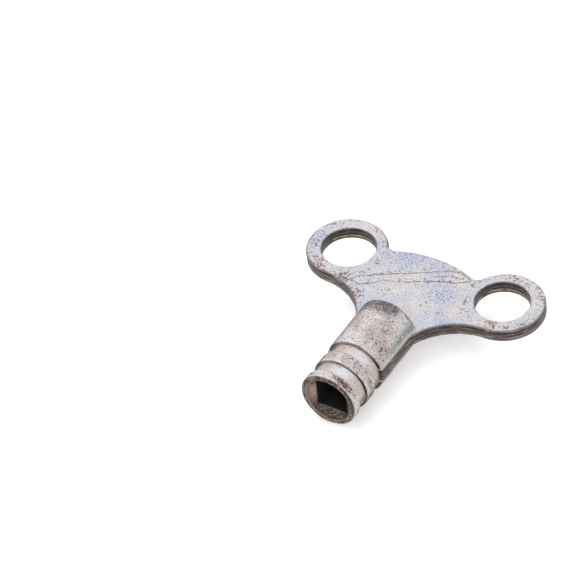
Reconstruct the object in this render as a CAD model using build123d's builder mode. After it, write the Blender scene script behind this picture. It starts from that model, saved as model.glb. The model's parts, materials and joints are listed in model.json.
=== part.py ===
"""Radiator bleed key: a stamped wing plate brazed into the slot of a turned socket barrel.

Millimetres. The origin is the centre of the socket's mouth. The barrel runs along +Y from
there, the wing spreads along X, and +Z is the normal of the plate, whose middle plane is z = 0.
"""
from build123d import *

import os
from math import sqrt

os.makedirs("parts", exist_ok=True)

# ---- socket barrel ---------------------------------------------------------------------
collar_diameter = 9.4
neck_diameter = 8.4
boss_diameter = 9.6
mouth_collar_length = 1.6
front_neck_length = 2.2
second_collar_length = 2.2
rear_neck_length = 2.1
boss_length = 10.1
mouth_edge_round = 0.45
front_edge_round = 0.28  # on the front shoulders of the second collar and the boss
rear_edge_round = 0.2

# ---- square socket for the valve's 5 mm square -----------------------------------------
valve_square = 5.0
socket_clearance = 0.1
socket_depth = 10.0
socket_corner_round = 0.25
flare_wall_at_mouth = 0.85
flare_depth = 1.2

# ---- wing plate ------------------------------------------------------------------------
plate_thickness = 2.2
plate_edge_round = 0.4
eye_hole_diameter = 8.5
eye_hole_edge_round = 0.2
eye_spacing = 27.0
eyes_behind_boss = 10.9
eye_outer_diameter = 12.8
eye_outer_offset = 0.3  # the outside of an eye sits this much further out than its hole
rear_edge_behind_eyes = 3.95
rear_edge_radius = 17.6
notch_radius = 1.2
waist_radius = 10.0
waist_bite = 0.6  # how far the side curves reach in past the boss's own radius
tongue_inset = 0.02  # the tongue's sides are dressed back this far inside the boss's surface
tongue_corner_round = 0.2

# ---- braze -----------------------------------------------------------------------------
braze_gap = 0.05  # clearance that the filler metal fills on each face of the tongue
bead_radius = 0.4

same_size = 1e-6  # sizes closer than this are taken as equal

# ---- sizes worked out from the ones above ----------------------------------------------
collar_radius = collar_diameter / 2
neck_radius = neck_diameter / 2
boss_radius = boss_diameter / 2
front_neck_start = mouth_collar_length
second_collar_start = front_neck_start + front_neck_length
rear_neck_start = second_collar_start + second_collar_length
boss_start = rear_neck_start + rear_neck_length
boss_end = boss_start + boss_length

socket_side = valve_square + socket_clearance
flare_radius = collar_radius - flare_wall_at_mouth

plate_half = plate_thickness / 2
slot_half = plate_half + braze_gap
tongue_half = boss_radius - tongue_inset
eye_outer_radius = eye_outer_diameter / 2
eye_distance = boss_end + eyes_behind_boss
eye_centre = (eye_spacing / 2, eye_distance)
eye_outer_centre = (eye_spacing / 2 + eye_outer_offset, eye_distance)
rear_edge_distance = eye_distance + rear_edge_behind_eyes
waist_distance = boss_radius - waist_bite + waist_radius
plate_reach = eye_outer_centre[0] + eye_outer_radius


def waist_centre():
    """Centre of the concave side curve, which touches the eye's outer circle from outside."""
    across = eye_outer_centre[0] - waist_distance
    along = sqrt((waist_radius + eye_outer_radius) ** 2 - across**2)
    return waist_distance, eye_outer_centre[1] - along


def waist_eye_joint():
    """Point where the side curve runs into the eye's outer circle."""
    centre_x, centre_y = waist_centre()
    share = waist_radius / (waist_radius + eye_outer_radius)
    joint_x = centre_x + (eye_outer_centre[0] - centre_x) * share
    joint_y = centre_y + (eye_outer_centre[1] - centre_y) * share
    return joint_x, joint_y


def waist_start():
    """Point where the side curve leaves the straight side of the tongue."""
    centre_x, centre_y = waist_centre()
    return tongue_half, centre_y + sqrt(waist_radius**2 - (centre_x - tongue_half) ** 2)


def rear_notch():
    """Point where the wing's rear arc meets the eye's outer circle, before it is rounded."""
    arc_centre_y = rear_edge_distance - rear_edge_radius
    apart_x = eye_outer_centre[0]
    apart_y = eye_outer_centre[1] - arc_centre_y
    apart = sqrt(apart_x**2 + apart_y**2)
    along = (apart**2 + rear_edge_radius**2 - eye_outer_radius**2) / (2 * apart)
    aside = sqrt(rear_edge_radius**2 - along**2)
    notch_x = (along * apart_x - aside * apart_y) / apart
    notch_y = arc_centre_y + (along * apart_y + aside * apart_x) / apart
    return notch_x, notch_y


wing_front = waist_start()[1]

# ---- square socket, cut after brazing, so that it notches the front of the tongue as well --
with BuildPart() as socket_cut:
    with BuildSketch(Plane.XZ):
        RectangleRounded(socket_side, socket_side, socket_corner_round)
    extrude(amount=-socket_depth)
    with BuildSketch(Plane.XZ):
        Circle(flare_radius)
    with BuildSketch(Plane.XZ.offset(-flare_depth)):
        RectangleRounded(socket_side, socket_side, socket_corner_round)
    loft()

# ---- wing plate ------------------------------------------------------------------------
with BuildSketch() as wing_outline:
    with BuildLine():
        RadiusArc(waist_start(), waist_eye_joint(), waist_radius)
        RadiusArc(waist_eye_joint(), rear_notch(), eye_outer_radius, short_sagitta=False)
        mirror(about=Plane.YZ)
        Line((-tongue_half, wing_front), (tongue_half, wing_front))
        RadiusArc(rear_notch(), (-rear_notch()[0], rear_notch()[1]), -rear_edge_radius)
    make_face()

with BuildPart() as wing_plate:
    add(wing_outline.sketch)
    extrude(amount=plate_half, both=True)
    fillet(wing_plate.edges().filter_by(Axis.Z).group_by(Axis.Y)[-1], notch_radius)
    front_side = wing_plate.faces().sort_by(Axis.Y)[0]
    fillet(wing_plate.edges().filter_by(Axis.Z, reverse=True) - front_side.edges(), plate_edge_round)
    with Locations((0, boss_start)):
        Box(
            2 * tongue_half,
            wing_front - boss_start,
            plate_thickness,
            align=(Align.CENTER, Align.MIN, Align.CENTER),
        )
    fillet(wing_plate.edges().filter_by(Axis.Z).group_by(Axis.Y)[0], tongue_corner_round)
    add(socket_cut.part, mode=Mode.SUBTRACT)
    with Locations(eye_centre, (-eye_centre[0], eye_centre[1])):
        Hole(eye_hole_diameter / 2)
    eye_walls = wing_plate.faces().filter_by(GeomType.CYLINDER).filter_by(
        lambda face: abs(face.radius - eye_hole_diameter / 2) < same_size
    )
    fillet(eye_walls.edges().filter_by(GeomType.CIRCLE), eye_hole_edge_round)


# ---- socket barrel ---------------------------------------------------------------------
def outer_rims(blank):
    """The blank's full-width turned rims, from the mouth to the rear."""
    circles = blank.edges().filter_by(GeomType.CIRCLE)
    return circles.filter_by(lambda edge: edge.radius > neck_radius + same_size).sort_by(Axis.Y)


with BuildPart() as turned_blank:
    with BuildSketch():
        with BuildLine():
            Polyline(
                (0, 0),
                (collar_radius, 0),
                (collar_radius, front_neck_start),
                (neck_radius, front_neck_start),
                (neck_radius, second_collar_start),
                (collar_radius, second_collar_start),
                (collar_radius, rear_neck_start),
                (neck_radius, rear_neck_start),
                (neck_radius, boss_start),
                (boss_radius, boss_start),
                (boss_radius, boss_end),
                (0, boss_end),
                close=True,
            )
        make_face()
    revolve(axis=Axis.Y)
    mouth_rim, collar_rear, second_front, second_rear, boss_front, boss_rear = outer_rims(turned_blank)
    fillet(mouth_rim, mouth_edge_round)
    fillet([second_front, boss_front], front_edge_round)
    fillet([collar_rear, second_rear, boss_rear], rear_edge_round)

with BuildPart() as socket_barrel:
    add(turned_blank.part)
    with Locations((0, boss_start)):
        Box(
            boss_diameter,
            boss_length,
            2 * slot_half,
            align=(Align.CENTER, Align.MIN, Align.CENTER),
            mode=Mode.SUBTRACT,
        )
    add(socket_cut.part, mode=Mode.SUBTRACT)

# ---- braze -----------------------------------------------------------------------------
with BuildSketch() as braze_limits:
    offset(wing_outline.sketch, amount=-plate_edge_round)
    with Locations((0, boss_start)):
        Rectangle(2 * tongue_half, boss_length, align=(Align.CENTER, Align.MIN))

with BuildPart() as upper_braze:
    add(turned_blank.part)
    split(bisect_by=Plane.XZ.offset(-boss_start), keep=Keep.BOTTOM)
    with Locations((0, wing_front)):
        Box(
            2 * plate_reach,
            rear_edge_distance - wing_front,
            plate_thickness,
            align=(Align.CENTER, Align.MIN, Align.CENTER),
        )
    root_edges = upper_braze.edges().filter_by_position(Axis.Z, plate_half, plate_half)
    fillet(root_edges.filter_by_position(Axis.Y, wing_front, boss_end, (False, True)), bead_radius)
    add(braze_limits.sketch)
    extrude(amount=boss_radius, mode=Mode.INTERSECT)
    with Locations((0, boss_start)):
        Box(
            2 * plate_reach,
            rear_edge_distance,
            plate_thickness,
            align=(Align.CENTER, Align.MIN, Align.CENTER),
            mode=Mode.SUBTRACT,
        )
    add(socket_barrel.part, mode=Mode.SUBTRACT)
    add(socket_cut.part, mode=Mode.SUBTRACT)

with BuildPart() as lower_braze:
    add(mirror(upper_braze.part, about=Plane.XY, mode=Mode.PRIVATE))

# ---- write the pieces ------------------------------------------------------------------
wing_plate.part.label = "wing_plate"
export_step(wing_plate.part, "parts/wing_plate.step")

socket_barrel.part.label = "socket_barrel"
export_step(socket_barrel.part, "parts/socket_barrel.step")

upper_braze.part.label = "upper_braze"
export_step(upper_braze.part, "parts/upper_braze.step")

lower_braze.part.label = "lower_braze"
export_step(lower_braze.part, "parts/lower_braze.step")
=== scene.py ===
"""Radiator bleed key: the looks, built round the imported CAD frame.

The frame is in metres. Wear is worked out in millimetres in the same frame: the origin is the
centre of the socket's mouth, +Y runs up the barrel, X is across the wing and +Z is the plate's
upper face. Every worn piece starts from its CAD node's own mesh, so it keeps that node's size.
"""
import json
from math import cos, radians, sin
import bmesh
import bpy
import numpy as np
from mathutils import Matrix, Vector, noise


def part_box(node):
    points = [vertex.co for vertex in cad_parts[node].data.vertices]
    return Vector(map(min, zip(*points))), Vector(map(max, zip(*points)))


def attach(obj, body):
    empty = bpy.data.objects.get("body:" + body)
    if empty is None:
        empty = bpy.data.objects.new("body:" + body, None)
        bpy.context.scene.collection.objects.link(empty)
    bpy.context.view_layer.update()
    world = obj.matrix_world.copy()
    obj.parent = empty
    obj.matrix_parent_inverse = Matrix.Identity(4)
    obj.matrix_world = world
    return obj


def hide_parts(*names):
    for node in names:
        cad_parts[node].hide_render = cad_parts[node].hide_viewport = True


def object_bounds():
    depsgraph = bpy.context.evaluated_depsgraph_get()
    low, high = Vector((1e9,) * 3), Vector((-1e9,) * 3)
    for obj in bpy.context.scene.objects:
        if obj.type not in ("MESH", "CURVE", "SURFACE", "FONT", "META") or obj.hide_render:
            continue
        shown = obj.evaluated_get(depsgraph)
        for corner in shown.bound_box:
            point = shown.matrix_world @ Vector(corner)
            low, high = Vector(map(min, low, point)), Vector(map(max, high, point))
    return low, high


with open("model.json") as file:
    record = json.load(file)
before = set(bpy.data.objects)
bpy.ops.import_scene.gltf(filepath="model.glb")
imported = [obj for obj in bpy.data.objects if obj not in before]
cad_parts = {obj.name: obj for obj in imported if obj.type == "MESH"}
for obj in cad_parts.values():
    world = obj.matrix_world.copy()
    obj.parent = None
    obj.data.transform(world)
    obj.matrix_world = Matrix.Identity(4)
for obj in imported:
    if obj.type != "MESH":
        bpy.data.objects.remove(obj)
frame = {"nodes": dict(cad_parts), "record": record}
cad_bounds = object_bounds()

MM = 0.001

# ---- camera: the photograph's viewing angle ---------------------------------------------
VIEW_AZIMUTH = 35.68
VIEW_ELEVATION = 43.58
VIEW_ROLL = -6.39
VIEW_DISTANCE = 0.6721
VIEW_AIM = (-0.01737, 0.01782, 0.0)
LENS_MM = 273.4
SENSOR_MM = 36.0
NEAREST_SEEN = 0.01

# ---- stage ------------------------------------------------------------------------------
FLOOR_SIZE = 1.6
FLOOR_GREY = 0.93
FLOOR_ROUGHNESS = 0.9
FLOOR_GLOW = 0.25
SKY_STRENGTH = 0.95
SOFT_LIGHTS = {
    "key_light": dict(at=(-0.30, 0.10, 0.62), size=0.60, power=2.2),
    "fill_light": dict(at=(0.45, -0.35, 0.50), size=0.70, power=0.7),
}

# ---- sizes read from the frame, in millimetres -------------------------------------------
PLATE_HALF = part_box("wing_plate")[1].z / MM
BOSS_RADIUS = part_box("socket_barrel")[1].z / MM
BOSS_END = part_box("socket_barrel")[1].y / MM
TONGUE_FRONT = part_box("wing_plate")[0].y / MM
OPENING_DEPTH = frame["record"]["physics"]["openings"][0]["box_m"][1][1] / MM
EYE_MOUNTS = [mount for mount in frame["record"]["mounts"] if mount["kind"] == "bore"]
EYES = sorted([Vector(mount["pos_m"]) / MM for mount in EYE_MOUNTS], key=lambda eye: eye.x)
LEFT_EYE, RIGHT_EYE = EYES
EYE_RADIUS = EYE_MOUNTS[0]["dims"]["r_mm"]

# ---- the barrel's turned steps, in millimetres from the mouth ----------------------------
MOUTH_COLLAR = 0.9  # the middle of the collar
SECOND_COLLAR = 4.9
SECOND_COLLAR_HALF = 1.2
FRONT_SHOULDERS = (3.8, 8.1)
REAR_SHOULDERS = (1.6, 6.0)

# ---- the barrel across, in millimetres ---------------------------------------------------
NECK_RADIUS = 4.2
SOCKET_HALF = 2.55
FLARE_RADIUS = 3.85

# ---- meshes, in millimetres --------------------------------------------------------------
PLATE_VOXEL = 0.12
BARREL_VOXEL = 0.105
BEAD_EDGE = 0.15
WELD = 0.0001

# ---- scratches on the plate's upper face: the points each one passes through ------------
SCRATCHES = [
    dict(path=[(-10.2, 22.3), (-9.0, 24.2), (-3.5, 27.6), (0.5, 29.8), (2.4, 31.1), (4.6, 31.9), (6.9, 30.8)],
         half_width=0.16, depth=0.07),
    dict(path=[(0.7, 27.5), (2.8, 28.8), (5.1, 29.4), (6.7, 30.5)], half_width=0.18, depth=0.08),
    dict(path=[(-11.5, 23.1), (-7.8, 22.8), (-4.7, 25.1), (0.2, 27.2)], half_width=0.14, depth=0.04),
    dict(path=[(1.0, 28.9), (3.4, 30.3), (5.6, 30.6)], half_width=0.12, depth=0.05),
]

SCUFF_HALF_WIDTH = 1.5

# ---- marks on the plate: how strong each one is, its middle and its radius --------------
WING_STAINS = [
    (0.90, (-8.0, 20.6), 3.6),
    (0.55, (-4.0, 23.0), 2.2),
    (0.90, (LEFT_EYE.x + 2.4, LEFT_EYE.y - 6.0), 3.2),
    (0.80, (LEFT_EYE.x - 2.6, LEFT_EYE.y - 5.2), 3.0),
    (0.60, (LEFT_EYE.x - 5.4, LEFT_EYE.y - 1.0), 3.0),
    (0.75, (RIGHT_EYE.x + 4.8, RIGHT_EYE.y + 3.6), 3.0),
    (0.80, (RIGHT_EYE.x + 1.0, RIGHT_EYE.y - 5.2), 2.4),
    (0.60, (RIGHT_EYE.x - 0.6, RIGHT_EYE.y + 5.4), 2.8),
]
WING_BLUEING = [
    (0.90, (-4.0, 31.8), 5.0),
    (0.70, (1.0, 31.6), 4.0),
    (0.90, (4.6, 26.2), 4.2),
    (0.70, (-8.3, 31.6), 3.6),
    (0.90, (RIGHT_EYE.x + 5.2, RIGHT_EYE.y - 3.6), 1.8),
]

# ---- marks on the boss, the same, placed by how far round it from the top and along it --
BOSS_STAINS = [
    (0.55, (1.0, 11.0), 2.2),
    (0.60, (3.8, 10.6), 2.4),
]
BOSS_BLUEING = [
    (0.90, (0.8, 16.4), 2.0),
    (0.80, (2.4, 13.4), 1.6),
]

# ---- how far wear raises or cuts the surface, in millimetres -----------------------------
WING_RELIEF = dict(
    broad=0.018, medium=0.010, grain=0.006, torn=0.030, wall=0.035, seam=0.05, flash=0.09, pit=0.055
)
BARREL_RELIEF = dict(broad=0.012, medium=0.010, grain=0.008, mouth=0.035, flare=0.03, pit=0.045, rim=0.02)
BEAD_RELIEF = 0.03

# ---- noise -------------------------------------------------------------------------------
NOISE_SHIFT = Vector((17.3, -9.1, 5.7))  # how far each seed moves the pattern
PIT_SHIFT = Vector((-4.9, 11.7, 8.3))
TEXTURE_SHIFT = (7.1, 3.3, 5.9)

# ---- colours -----------------------------------------------------------------------------
WING_COLOURS = dict(
    cool=(0.53, 0.54, 0.60),
    warm=(0.61, 0.58, 0.575),
    blue=(0.14, 0.26, 0.56),
    dark_grain=(0.20, 0.20, 0.25),
    pale_grain=(0.74, 0.74, 0.76),
    rust=(0.16, 0.085, 0.06),
    speck=(0.09, 0.05, 0.04),
    pit=(0.045, 0.022, 0.014),
    scratch=(0.14, 0.058, 0.03),
    edge_line=(0.10, 0.05, 0.032),
    dark_wall=(0.065, 0.048, 0.042),
    pale_wall=(0.19, 0.15, 0.13),
    eye_wall=(0.034, 0.029, 0.020),
    seam=(0.008, 0.006, 0.005),
    flash=(0.50, 0.40, 0.27),
)
BARREL_COLOURS = dict(
    pink_grey=(0.59, 0.54, 0.545),
    brown_grey=(0.47, 0.40, 0.37),
    streak=(0.56, 0.55, 0.59),
    dark_grain=(0.17, 0.13, 0.115),
    pale_grain=(0.70, 0.67, 0.64),
    dull_neck=(0.45, 0.38, 0.32),
    bright_neck=(0.64, 0.63, 0.67),
    neck_streak=(0.52, 0.46, 0.41),
    green=(0.16, 0.19, 0.16),
    stain=(0.20, 0.13, 0.10),
    flank=(0.055, 0.036, 0.026),
    smoke=(0.10, 0.085, 0.095),
    red_rust=(0.17, 0.06, 0.045),
    rust=(0.075, 0.038, 0.028),
    blue=(0.10, 0.14, 0.26),
    speck=(0.08, 0.045, 0.034),
    pit=(0.030, 0.016, 0.011),
    shoulder=(0.095, 0.074, 0.062),
    rim=(0.74, 0.70, 0.65),
    grime=(0.008, 0.006, 0.005),
    dark_mouth=(0.040, 0.024, 0.018),
    worn_mouth=(0.21, 0.15, 0.12),
    dark_flare=(0.040, 0.028, 0.021),
    pale_flare=(0.36, 0.28, 0.19),
    gilt=(0.36, 0.25, 0.16),
    violet=(0.13, 0.055, 0.12),
    bore=(0.030, 0.026, 0.025),
)
BRAZE_COLOURS = dict(
    cool=(0.50, 0.51, 0.57),
    grey=(0.42, 0.42, 0.42),
    speck=(0.12, 0.09, 0.08),
)


# ---- camera, floor and light ----------------------------------------------------------------
def make_camera():
    """Looks at VIEW_AIM from the viewing angle."""
    azimuth = radians(VIEW_AZIMUTH)
    elevation = radians(VIEW_ELEVATION)
    outward = Vector((sin(azimuth) * cos(elevation), -cos(azimuth) * cos(elevation), sin(elevation)))
    camera_data = bpy.data.cameras.new("camera")
    camera_data.lens = LENS_MM
    camera_data.sensor_width = SENSOR_MM
    camera_data.clip_start = NEAREST_SEEN
    camera = bpy.data.objects.new("camera", camera_data)
    bpy.context.scene.collection.objects.link(camera)
    look = outward.to_track_quat("Z", "Y").to_matrix().to_4x4()
    roll = Matrix.Rotation(radians(VIEW_ROLL), 4, "Z")
    camera.matrix_world = Matrix.Translation(Vector(VIEW_AIM) + outward * VIEW_DISTANCE) @ look @ roll
    bpy.context.scene.camera = camera


def make_floor():
    half = FLOOR_SIZE / 2
    corners = [(-half, -half, 0), (half, -half, 0), (half, half, 0), (-half, half, 0)]
    mesh = bpy.data.meshes.new("floor")
    mesh.from_pydata(corners, [], [(0, 1, 2, 3)])
    floor = bpy.data.objects.new("floor", mesh)
    floor.location.z = cad_bounds[0][2]
    bpy.context.scene.collection.objects.link(floor)
    material = bpy.data.materials.new("floor_white")
    material.use_nodes = True
    shader = material.node_tree.nodes["Principled BSDF"]
    shader.inputs["Base Color"].default_value = (FLOOR_GREY, FLOOR_GREY, FLOOR_GREY, 1)
    shader.inputs["Roughness"].default_value = FLOOR_ROUGHNESS
    shader.inputs["Emission Color"].default_value = (1, 1, 1, 1)
    shader.inputs["Emission Strength"].default_value = FLOOR_GLOW
    mesh.materials.append(material)


def make_lights():
    world = bpy.data.worlds.new("studio")
    world.use_nodes = True
    background = world.node_tree.nodes["Background"]
    background.inputs["Color"].default_value = (1, 1, 1, 1)
    background.inputs["Strength"].default_value = SKY_STRENGTH
    bpy.context.scene.world = world
    for name, light in SOFT_LIGHTS.items():
        lamp = bpy.data.lights.new(name, "AREA")
        lamp.size = light["size"]
        lamp.energy = light["power"]
        lamp_object = bpy.data.objects.new(name, lamp)
        lamp_object.location = light["at"]
        lamp_object.rotation_euler = Vector(light["at"]).to_track_quat("Z", "Y").to_euler()
        bpy.context.scene.collection.objects.link(lamp_object)
    bpy.context.scene.view_settings.view_transform = "Standard"


# ---- wear, worked out on a mesh's points ----------------------------------------------------
def step(values, low, high):
    """0 below low, 1 above high and a smooth rise between them. It falls instead if low > high."""
    share = np.clip((values - low) / (high - low), 0, 1)
    return share * share * (3 - 2 * share)


def between(values, rise, fall):
    """1 between two limits: it climbs from rise[0] to rise[1] and drops from fall[0] to fall[1]."""
    return step(values, *rise) * step(values, fall[1], fall[0])


def bump_at(values, middle, half_width):
    """1 where values equals middle, falling smoothly to 0 at half_width from it."""
    return step(np.abs(values - middle), half_width, 0)


def noise_at(points, per_mm, seed, octaves=3):
    """Smooth noise, mostly from -1 to 1, with per_mm swells to the millimetre."""
    start = NOISE_SHIFT * seed
    return np.array([noise.fractal(Vector(p) * per_mm + start, 1.0, 2.0, octaves) for p in points])


def pits_at(points, per_mm, radius, seed):
    """1 at the bottom of a round pit, 0 outside it, with about one pit in each 1/per_mm cell."""
    start = PIT_SHIFT * seed
    nearest = np.array([noise.voronoi(Vector(p) * per_mm + start)[0][0] for p in points])
    return step(nearest, radius * per_mm, 0)


def stroke_at(points, path, half_width):
    """1 along the line drawn through path on the plate, falling to 0 at half_width from it."""
    flat = points[:, :2]
    nearest = np.full(len(flat), np.inf)
    for start, end in zip(np.array(path[:-1]), np.array(path[1:])):
        run = end - start
        along = np.clip((flat - start) @ run / (run @ run), 0, 1)
        nearest = np.minimum(nearest, np.linalg.norm(flat - start - along[:, None] * run, axis=1))
    return step(nearest, half_width, 0)


def patch_at(points, centre, radius):
    """1 at centre, falling smoothly to 0 at radius from it. centre has as many axes as it needs."""
    reach = np.linalg.norm(points[:, : len(centre)] - np.array(centre), axis=1)
    return step(reach, radius, 0)


def strongest(points, marks):
    """The strongest of several round marks at each point."""
    shares = [strength * patch_at(points, middle, radius) for strength, middle, radius in marks]
    return np.maximum.reduce(shares)


def eye_reaches(points):
    """How far each point is from the middle of each eye's hole."""
    return [np.hypot(points[:, 0] - eye.x, points[:, 1] - eye.y) for eye in EYES]


# ---- meshes ---------------------------------------------------------------------------------
def fine_copy(node, name, voxel):
    """The CAD node's shape as an even mesh, fine enough for wear to be cut into it."""
    mesh = frame["nodes"][node].data.copy()
    weld = bmesh.new()
    weld.from_mesh(mesh)
    bmesh.ops.remove_doubles(weld, verts=weld.verts, dist=WELD * MM)
    weld.to_mesh(mesh)
    weld.free()
    piece = bpy.data.objects.new(name, mesh)
    bpy.context.scene.collection.objects.link(piece)
    remesh = piece.modifiers.new("even_mesh", "REMESH")
    remesh.mode = "VOXEL"
    remesh.voxel_size = voxel * MM
    even = bpy.data.meshes.new_from_object(piece.evaluated_get(bpy.context.evaluated_depsgraph_get()))
    piece.modifiers.clear()
    piece.data = even
    even.materials.clear()
    return piece


def points_and_normals(piece):
    """The piece's points in millimetres and the direction that the surface faces at each."""
    mesh = piece.data
    points = np.empty(len(mesh.vertices) * 3)
    mesh.vertices.foreach_get("co", points)
    normals = np.empty(len(mesh.vertices) * 3)
    mesh.vertex_normals.foreach_get("vector", normals)
    return points.reshape(-1, 3) / MM, normals.reshape(-1, 3)


def raise_surface(piece, points, normals, height):
    """Moves each point out along its normal by height, in millimetres."""
    moved = (points + normals * height[:, None]) * MM
    piece.data.vertices.foreach_set("co", moved.ravel())
    piece.data.shade_smooth()
    piece.data.update()


def paint(piece, **layers):
    """Keeps each layer, a number from 0 to 1 at each point, for the material to read."""
    for name, values in layers.items():
        layer = piece.data.attributes.new(name, "FLOAT", "POINT")
        layer.data.foreach_set("value", np.clip(values, 0, 1).astype(np.float32))


def hand_over(piece, node, material):
    """The piece stands for the CAD node and wears the material."""
    piece.data.materials.append(material)
    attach(piece, "root")
    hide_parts(node)


# ---- wing plate -----------------------------------------------------------------------------
def scratches_at(points, wander, upper):
    """How strongly the plate is scratched, how deep and how scuffed, at each point."""
    scratch = np.zeros(len(points))
    depth = np.zeros(len(points))
    scuffed = np.zeros(len(points))
    broken = step(noise_at(points, 1.6, 6), -1.0, -0.4)
    for mark in SCRATCHES:
        scuffed = np.maximum(scuffed, stroke_at(points, mark["path"], SCUFF_HALF_WIDTH))
        weight = stroke_at(wander, mark["path"], mark["half_width"]) * upper * broken
        scratch = np.maximum(scratch, weight)
        depth = np.maximum(depth, weight * mark["depth"])
    return scratch, depth, scuffed


def make_wing(material):
    piece = fine_copy("wing_plate", "worn_wing_plate", PLATE_VOXEL)
    points, normals = points_and_normals(piece)
    across, along, height = points.T
    level = np.abs(normals[:, 2])
    wall = step(level, 0.85, 0.45)
    face = 1 - wall
    upper = step(normals[:, 2], 0.3, 0.8)
    outside_boss = np.maximum(step(along, BOSS_END - 0.5, BOSS_END), step(np.abs(across), 4.4, 4.9))

    broad = noise_at(points, 0.16, 1)
    medium = noise_at(points, 0.7, 2)
    grain = noise_at(points, 2.6, 3)
    wander = points + 0.22 * np.stack([noise_at(points, 0.45, 4), noise_at(points, 0.45, 5), 0 * medium], 1)
    scratch, scratch_depth, scuffed = scratches_at(points, wander, upper)

    # Rust lies in patches, along the scratches and round the rims of the eyes.
    from_eyes = eye_reaches(points)
    rims = np.maximum.reduce([bump_at(reach, EYE_RADIUS + 1.6, 1.2) for reach in from_eyes])
    stain = np.maximum(strongest(points, WING_STAINS), 0.3 * scuffed)
    stain = np.maximum(stain, (0.35 + 0.3 * medium) * rims)
    blueing = np.maximum(strongest(points, WING_BLUEING), 0.6 * step(broad, 0.25, 0.6))

    pit_area = np.clip(0.3 + 0.7 * stain + 0.3 * step(medium, 0.2, 0.6), 0, 1)
    pits = pits_at(points, 1.15, 0.30, 1) * step(noise_at(points, 0.5, 7), 0.75 - pit_area, 1.0 - pit_area)

    # The sheared wall: a dark line under the upper edge, a line half-way down, and a rough lower half.
    seam_height = 0.06 * noise_at(points, 0.35, 8) + 0.02
    seam = bump_at(height, seam_height, 0.2) * wall
    top_line = bump_at(height, 0.62 + 0.10 * medium, 0.38) * wall
    torn = step(height, 0.0, -0.5) * wall
    in_eye = step(np.minimum.reduce(from_eyes), EYE_RADIUS + 0.35, EYE_RADIUS + 0.2)
    # A flash ridge on the eyes' walls. The light tan laid on it is a painted highlight.
    flash = bump_at(height, -0.42 + seam_height, 0.24) * in_eye * wall * step(medium, -0.5, 0.1)
    edge_line = bump_at(level, 0.80, 0.26) * step(medium, -1.0, 0.0)

    tall = WING_RELIEF
    relief = tall["broad"] * broad + tall["medium"] * medium + tall["grain"] * grain * face
    relief += tall["torn"] * grain * torn + tall["wall"] * medium * wall
    relief -= tall["seam"] * bump_at(height, seam_height, 0.24) * wall
    relief += tall["flash"] * flash
    relief -= tall["pit"] * pits * face + scratch_depth
    raise_surface(piece, points, normals, relief * outside_boss)
    paint(
        piece,
        wall=wall,
        seam=np.maximum(seam * 0.9, top_line) * step(medium, -0.9, 0.2),
        flash=flash,
        edge_line=edge_line,
        in_eye=in_eye * wall,
        stain=stain * face,
        blueing=blueing * face,
        pit=pits * 0.9 * face,
        scratch=scratch * step(grain, -1.0, -0.1),
    )
    hand_over(piece, "wing_plate", material)


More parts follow.
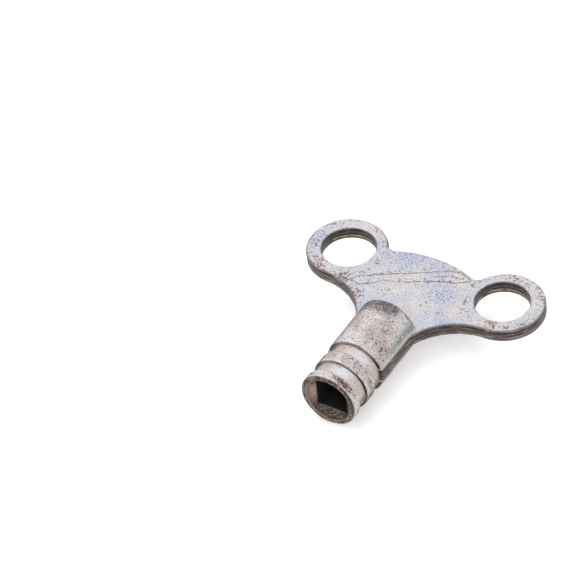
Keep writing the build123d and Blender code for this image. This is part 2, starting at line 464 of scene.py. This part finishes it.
# ---- socket barrel --------------------------------------------------------------------------
def make_barrel(material):
    """The worn barrel. turn is the angle round it in degrees: 0 on top and 90 towards +X."""
    piece = fine_copy("socket_barrel", "worn_socket_barrel", BARREL_VOXEL)
    points, normals = points_and_normals(piece)
    across, along, height = points.T
    radius = np.hypot(across, height)
    turn = np.degrees(np.arctan2(across, height))
    forward = -normals[:, 1]
    slot = step(np.abs(height), PLATE_HALF + 0.35, PLATE_HALF + 0.15)
    slot *= step(along, TONGUE_FRONT - 0.2, TONGUE_FRONT - 0.1)
    outer = step(radius, NECK_RADIUS - 0.35, NECK_RADIUS - 0.1) * (1 - slot)

    broad = noise_at(points, 0.2, 11)
    medium = noise_at(points, 0.8, 12)
    grain = noise_at(points, 2.8, 13)

    # Each shoulder is brown, and black in the crevice against the neck, from dirt and painted shade. Its rim
    # carries a painted highlight.
    packed = between(turn, (-46, -10), (84, 98))
    black_reach = NECK_RADIUS + 0.08 + 0.32 * step(turn, 15, 65)
    black = step(radius, black_reach + 0.07, black_reach - 0.07)
    by_neck = step(radius, NECK_RADIUS + 0.3, NECK_RADIUS)
    on_shoulder = np.zeros(len(points))
    crevice = np.zeros(len(points))
    rim = np.zeros(len(points))
    for place in FRONT_SHOULDERS:
        on_shoulder = np.maximum(on_shoulder, step(forward, 0.55, 0.85) * bump_at(along, place, 0.4))
        crevice = np.maximum(crevice, bump_at(along, place, 0.16) * by_neck)
        # Painted highlight along each shoulder's rounded front edge.
        rim = np.maximum(rim, bump_at(forward, 0.40, 0.30) * bump_at(along, place + 0.1, 0.35))
    for place in REAR_SHOULDERS:
        crevice = np.maximum(crevice, 0.5 * bump_at(along, place, 0.2) * outer)
    rim *= step(radius, NECK_RADIUS + 0.2, NECK_RADIUS + 0.4)
    shoulder = on_shoulder * (0.45 + 0.55 * np.maximum(step(turn, 30, 75), step(turn, -30, -50)))

    # The mouth: its front face and lip, the flare behind it, and the square bore.
    inside = step(radius, FLARE_RADIUS + 0.1, FLARE_RADIUS - 0.1)
    inside *= step(along, OPENING_DEPTH + 0.3, OPENING_DEPTH + 0.2)
    in_square = step(np.maximum(np.abs(across), np.abs(height)), SOCKET_HALF + 0.12, SOCKET_HALF + 0.02)
    bore = inside * in_square * step(along, 0.15, 0.8)
    flare = inside * (1 - bore)
    at_front = step(along, 0.6, 0.4) * (1 - inside)
    mouth = step(forward, 0.45, 0.8) * at_front
    # The lip's rounded edge carries a painted highlight too.
    lip = bump_at(forward, 0.35, 0.25) * at_front
    gilt = flare * bump_at(turn, -88, 62)
    violet = gilt * step(radius, 3.0, 3.7) * step(medium, -0.8, 0.1)

    on_second_collar = np.abs(along - SECOND_COLLAR) < SECOND_COLLAR_HALF
    neck = np.where(on_second_collar, 0.0, between(along, (1.5, 1.7), (7.9, 8.2)))
    on_collar = np.maximum(
        bump_at(along, MOUTH_COLLAR, 1.0),
        bump_at(along, SECOND_COLLAR, SECOND_COLLAR_HALF),
    )
    on_boss = step(along, 8.3, 8.8)

    # The boss is darkest at its far end. Painted shade runs down both sides of the barrel. The mouth collar
    # is brown on top.
    unrolled = np.stack([np.radians(turn) * BOSS_RADIUS, along], 1)
    stains = [
        strongest(unrolled, BOSS_STAINS),
        0.75 * step(along, BOSS_END - 3.4, BOSS_END - 1.2) * between(turn, (-110, -60), (14, 44)),
        0.85 * bump_at(along, BOSS_END, 0.5) * between(turn, (-75, -50), (45, 75)),
        bump_at(turn, 34, 50) * bump_at(along, MOUTH_COLLAR, 1.1),
        0.8 * step(along, 1.4, 0.6) * step(turn, -15, -45),
        (0.25 + 0.4 * step(turn, 30, 80)) * bump_at(along, 5.0, 1.3),
        0.08 + 0.25 * broad,
    ]
    stain = np.maximum.reduce(stains) * (1 - neck)
    # Painted shade: darker down the left side and along the underside on the +X side, where the surface turns
    # away from the light.
    flank = np.maximum(between(turn, (-116, -80), (-50, -24)), 0.9 * between(turn, (85, 99), (130, 168)))
    flank *= step(along, 0.3, 0.9)
    smoke = np.maximum(
        step(along, BOSS_END - 3.6, BOSS_END - 0.8) * between(turn, (-110, -70), (12, 40)),
        bump_at(along, BOSS_END, 0.7) * between(turn, (-110, -70), (50, 80)),
    )
    red_rust = bump_at(turn, 30, 56) * bump_at(along, 0.8, 1.0)
    blueing = strongest(unrolled, BOSS_BLUEING)
    greening = bump_at(turn, 66, 18) * step(along, 8.5, 12.5)
    # Painted sheen: a lighter band along the top of the necks, where the light falls.
    pale = bump_at(turn, 22 + 12 * broad, 48)

    pit_area = np.clip(0.55 * on_collar + 0.45 * on_boss + 0.4 * stain - 0.1, 0, 1)
    pits = pits_at(points, 1.3, 0.26, 2) * step(noise_at(points, 0.6, 14), 0.7 - pit_area, 1.0 - pit_area)
    pits *= outer

    tall = BARREL_RELIEF
    relief = tall["broad"] * broad + tall["medium"] * medium
    relief += tall["grain"] * grain * np.maximum(on_collar, on_boss)
    relief -= tall["pit"] * pits
    relief += tall["mouth"] * medium * mouth + tall["flare"] * grain * flare
    relief -= tall["rim"] * rim * step(medium, 0, 0.6)
    raise_surface(piece, points, normals, relief * np.maximum(outer, inside))
    paint(
        piece,
        stain=stain * outer,
        flank=flank * (0.8 + 0.3 * medium) * outer,
        smoke=smoke * (0.85 + 0.3 * medium) * outer,
        red_rust=red_rust * outer,
        blueing=blueing * outer,
        greening=greening * outer,
        # Black in the crevices: dirt and painted shade.
        grime=np.maximum(black * on_shoulder, crevice) * packed * outer,
        shoulder=shoulder * outer,
        # Painted highlight on the shoulder rims and the mouth's lip, on the upper side only.
        rim=np.maximum(rim, lip * 0.8) * step(medium, -0.6, 0.2) * step(np.abs(turn + 5), 80, 35) * outer,
        pit=pits * 0.9,
        bore=bore,
        flare=flare,
        gilt=gilt,
        violet=violet,
        pale=pale,
        mouth=mouth,
        neck=neck * outer,
    )
    hand_over(piece, "socket_barrel", material)


# ---- braze beads ----------------------------------------------------------------------------
def make_bead(node, name, material):
    """The CAD bead with its long faces divided and its surface a little uneven, as run metal is."""
    mesh = frame["nodes"][node].data.copy()
    mesh.materials.clear()
    fine = bmesh.new()
    fine.from_mesh(mesh)
    bmesh.ops.remove_doubles(fine, verts=fine.verts, dist=WELD * MM)
    for _ in range(4):
        long_edges = [edge for edge in fine.edges if edge.calc_length() > BEAD_EDGE * MM]
        if not long_edges:
            break
        bmesh.ops.subdivide_edges(fine, edges=long_edges, cuts=1)
        bmesh.ops.triangulate(fine, faces=fine.faces)
    fine.to_mesh(mesh)
    fine.free()
    piece = bpy.data.objects.new(name, mesh)
    bpy.context.scene.collection.objects.link(piece)
    points, normals = points_and_normals(piece)
    showing = step(np.abs(points[:, 2]), PLATE_HALF + 0.04, PLATE_HALF + 0.15)
    relief = BEAD_RELIEF * noise_at(points, 1.2, 21) * showing
    raise_surface(piece, points, normals, relief)
    hand_over(piece, node, material)


# ---- materials ------------------------------------------------------------------------------
class Look:
    """One metal: a Principled shader and the nodes that feed it, with sizes in millimetres."""

    def __init__(self, name, metallic):
        self.material = bpy.data.materials.new(name)
        self.material.use_nodes = True
        self.tree = self.material.node_tree
        self.shader = self.tree.nodes["Principled BSDF"]
        self.shader.inputs["Metallic"].default_value = metallic
        self.shader.inputs["Specular IOR Level"].default_value = 0.3
        coordinates = self.add("ShaderNodeTexCoord")
        self.place = self.add("ShaderNodeMapping")
        self.place.inputs["Scale"].default_value = (1 / MM, 1 / MM, 1 / MM)
        self.link(coordinates.outputs["Object"], self.place.inputs["Vector"])

    def add(self, kind):
        return self.tree.nodes.new(kind)

    def link(self, start, end):
        self.tree.links.new(start, end)

    def feed(self, value, socket):
        """Links a node's output to the socket, or sets a plain number or colour on it."""
        if isinstance(value, bpy.types.NodeSocket):
            self.link(value, socket)
        elif isinstance(value, tuple):
            socket.default_value = (*value, 1)
        else:
            socket.default_value = value

    def noise(self, per_mm, detail=3.0, stretch=(1, 1, 1), seed=0):
        """Noise from 0 to 1 with per_mm swells to the millimetre."""
        shift = self.add("ShaderNodeMapping")
        shift.inputs["Location"].default_value = [seed * reach for reach in TEXTURE_SHIFT]
        shift.inputs["Scale"].default_value = stretch
        self.link(self.place.outputs["Vector"], shift.inputs["Vector"])
        texture = self.add("ShaderNodeTexNoise")
        texture.inputs["Scale"].default_value = per_mm
        texture.inputs["Detail"].default_value = detail
        self.link(shift.outputs["Vector"], texture.inputs["Vector"])
        return texture.outputs["Fac"]

    def layer(self, name):
        """A layer that paint() kept on the mesh."""
        attribute = self.add("ShaderNodeAttribute")
        attribute.attribute_name = name
        return attribute.outputs["Fac"]

    def share(self, name, top):
        """A layer at top times its strength."""
        return self.maths("MULTIPLY", self.layer(name), top)

    def rise(self, value, low, high, top=1.0):
        """0 where value is below low, top where it is above high, and a smooth rise between."""
        node = self.add("ShaderNodeMapRange")
        node.interpolation_type = "SMOOTHSTEP"
        node.inputs["From Min"].default_value = low
        node.inputs["From Max"].default_value = high
        node.inputs["To Max"].default_value = top
        self.link(value, node.inputs["Value"])
        return node.outputs["Result"]

    def eaten(self, layer, pattern, top):
        """Only the pattern's peaks where the layer is weak, and most of it where the layer is 1."""
        return self.rise(self.maths("ADD", self.share(layer, 0.26), pattern), 0.63, 0.74, top)

    def tooth(self, specks, grain):
        """The fine height of worn metal."""
        return self.maths("ADD", self.maths("MULTIPLY", specks, 0.6), self.maths("MULTIPLY", grain, 0.4))

    def maths(self, operation, first, second):
        node = self.add("ShaderNodeMath")
        node.operation = operation
        self.feed(first, node.inputs[0])
        self.feed(second, node.inputs[1])
        return node.outputs["Value"]

    def coat(self, below, colour, amount):
        """The colour laid over what is below by an amount from 0 to 1."""
        node = self.add("ShaderNodeMix")
        node.data_type = "RGBA"
        self.feed(amount, node.inputs["Factor"])
        self.feed(below, node.inputs["A"])
        self.feed(colour, node.inputs["B"])
        return node.outputs["Result"]

    def finish(self, colour, roughness, height, relief):
        """Feeds the shader. height is a node's output and relief how tall it stands, in mm."""
        self.link(colour, self.shader.inputs["Base Color"])
        self.link(roughness, self.shader.inputs["Roughness"])
        bump = self.add("ShaderNodeBump")
        bump.inputs["Strength"].default_value = 1.0
        bump.inputs["Distance"].default_value = relief * MM
        self.link(height, bump.inputs["Height"])
        self.link(bump.outputs["Normal"], self.shader.inputs["Normal"])
        return self.material


def wing_look():
    """Dull grey-lavender plate with bluish patches, brown stains and pits, and dark sheared edges."""
    look = Look("aged_wing_metal", metallic=0.15)
    hue = WING_COLOURS
    broad = look.noise(0.22, seed=1)
    specks = look.noise(2.8, detail=4.0, seed=2)
    grain = look.noise(5.0, detail=3.0, seed=3)
    rust = look.noise(2.4, detail=6.0, seed=4)
    edge = look.noise(1.3, detail=4.0, stretch=(0.4, 0.4, 2.4), seed=5)

    colour = look.coat(hue["cool"], hue["warm"], look.rise(broad, 0.40, 0.60))
    blue_amount = look.maths("MULTIPLY", look.layer("blueing"), look.rise(specks, 0.40, 0.57, 0.85))
    colour = look.coat(colour, hue["blue"], blue_amount)
    colour = look.coat(colour, hue["dark_grain"], look.rise(grain, 0.53, 0.63, 0.60))
    colour = look.coat(colour, hue["pale_grain"], look.rise(grain, 0.46, 0.38, 0.50))
    colour = look.coat(colour, hue["rust"], look.eaten("stain", rust, 0.8))
    colour = look.coat(colour, hue["speck"], look.rise(specks, 0.62, 0.69, 0.85))
    colour = look.coat(colour, hue["pit"], look.layer("pit"))
    colour = look.coat(colour, hue["scratch"], look.share("scratch", 0.95))
    colour = look.coat(colour, hue["edge_line"], look.share("edge_line", 0.9))
    wall = look.coat(hue["dark_wall"], hue["pale_wall"], look.rise(edge, 0.46, 0.60))
    wall = look.coat(wall, hue["eye_wall"], look.share("in_eye", 0.5))
    wall = look.coat(wall, hue["seam"], look.layer("seam"))
    # Painted highlight along the flash ridge.
    wall = look.coat(wall, hue["flash"], look.share("flash", 0.8))
    colour = look.coat(colour, wall, look.layer("wall"))

    roughness = look.maths("MAXIMUM", look.rise(rust, 0.2, 0.9, 0.85), 0.48)
    return look.finish(colour, roughness, look.tooth(specks, grain), relief=0.06)


def barrel_look():
    """Turned barrel: mottled warm grey, smoother necks with a painted lit band on top, black shoulders from
    dirt and painted shade, painted highlights on their rims, painted shade down the sides and a brown worn
    mouth.
    """
    look = Look("aged_barrel_metal", metallic=0.22)
    hue = BARREL_COLOURS
    broad = look.noise(0.30, seed=11)
    streaks = look.noise(0.9, stretch=(1, 0.22, 1), seed=12)
    specks = look.noise(2.8, detail=4.0, seed=13)
    rust = look.noise(2.2, detail=6.0, seed=14)
    grain = look.noise(5.0, detail=3.0, seed=15)

    colour = look.coat(hue["pink_grey"], hue["brown_grey"], look.rise(broad, 0.42, 0.60))
    colour = look.coat(colour, hue["streak"], look.rise(streaks, 0.50, 0.60, 0.75))
    colour = look.coat(colour, hue["dark_grain"], look.rise(grain, 0.53, 0.63, 0.60))
    colour = look.coat(colour, hue["pale_grain"], look.rise(grain, 0.46, 0.38, 0.50))
    # The necks: polished, with a painted lit band along their top.
    polished = look.coat(hue["dull_neck"], hue["bright_neck"], look.layer("pale"))
    polished = look.coat(polished, hue["neck_streak"], look.rise(streaks, 0.48, 0.60, 0.5))
    colour = look.coat(colour, polished, look.share("neck", 0.92))
    green_amount = look.maths("MULTIPLY", look.layer("greening"), look.rise(specks, 0.20, 0.55, 0.8))
    colour = look.coat(colour, hue["green"], green_amount)
    colour = look.coat(colour, hue["stain"], look.share("stain", 0.5))
    # Painted shade down the barrel's sides.
    colour = look.coat(colour, hue["flank"], look.share("flank", 0.80))
    colour = look.coat(colour, hue["smoke"], look.share("smoke", 0.72))
    colour = look.coat(colour, hue["red_rust"], look.eaten("red_rust", specks, 0.75))
    colour = look.coat(colour, hue["rust"], look.eaten("stain", rust, 0.8))
    blue_amount = look.maths("MULTIPLY", look.layer("blueing"), look.rise(specks, 0.44, 0.56, 0.85))
    colour = look.coat(colour, hue["blue"], blue_amount)
    colour = look.coat(colour, hue["speck"], look.rise(specks, 0.61, 0.68, 0.85))
    colour = look.coat(colour, hue["pit"], look.layer("pit"))
    colour = look.coat(colour, hue["shoulder"], look.layer("shoulder"))
    # Painted highlight on the shoulder rims and the lip.
    colour = look.coat(colour, hue["rim"], look.share("rim", 0.85))
    # Black crevices against the neck: dirt and painted shade.
    colour = look.coat(colour, hue["grime"], look.layer("grime"))
    mouth = look.coat(hue["dark_mouth"], hue["worn_mouth"], look.rise(rust, 0.49, 0.61))
    colour = look.coat(colour, mouth, look.layer("mouth"))
    flare = look.coat(hue["dark_flare"], hue["pale_flare"], look.rise(grain, 0.54, 0.62, 0.8))
    flare = look.coat(flare, hue["gilt"], look.share("gilt", 0.8))
    flare = look.coat(flare, hue["violet"], look.share("violet", 0.75))
    colour = look.coat(colour, flare, look.layer("flare"))
    colour = look.coat(colour, hue["bore"], look.layer("bore"))

    roughness = look.maths("MAXIMUM", look.rise(rust, 0.2, 0.9, 0.75), 0.36)
    roughness = look.maths("MAXIMUM", roughness, look.share("flank", 0.85))
    return look.finish(colour, roughness, look.tooth(specks, grain), relief=0.055)


def braze_look():
    """Pale filler metal that ran out of the joint."""
    look = Look("aged_braze_metal", metallic=0.35)
    hue = BRAZE_COLOURS
    swells = look.noise(1.1, seed=21)
    specks = look.noise(4.0, detail=4.0, seed=22)
    colour = look.coat(hue["cool"], hue["grey"], look.rise(swells, 0.42, 0.66))
    colour = look.coat(colour, hue["speck"], look.rise(specks, 0.60, 0.74, 0.6))
    roughness = look.maths("MAXIMUM", look.rise(swells, 0.2, 0.9, 0.6), 0.35)
    return look.finish(colour, roughness, specks, relief=0.02)


make_camera()
make_floor()
make_lights()
make_wing(wing_look())
make_barrel(barrel_look())
braze = braze_look()
make_bead("upper_braze", "upper_braze_bead", braze)
make_bead("lower_braze", "lower_braze_bead", braze)
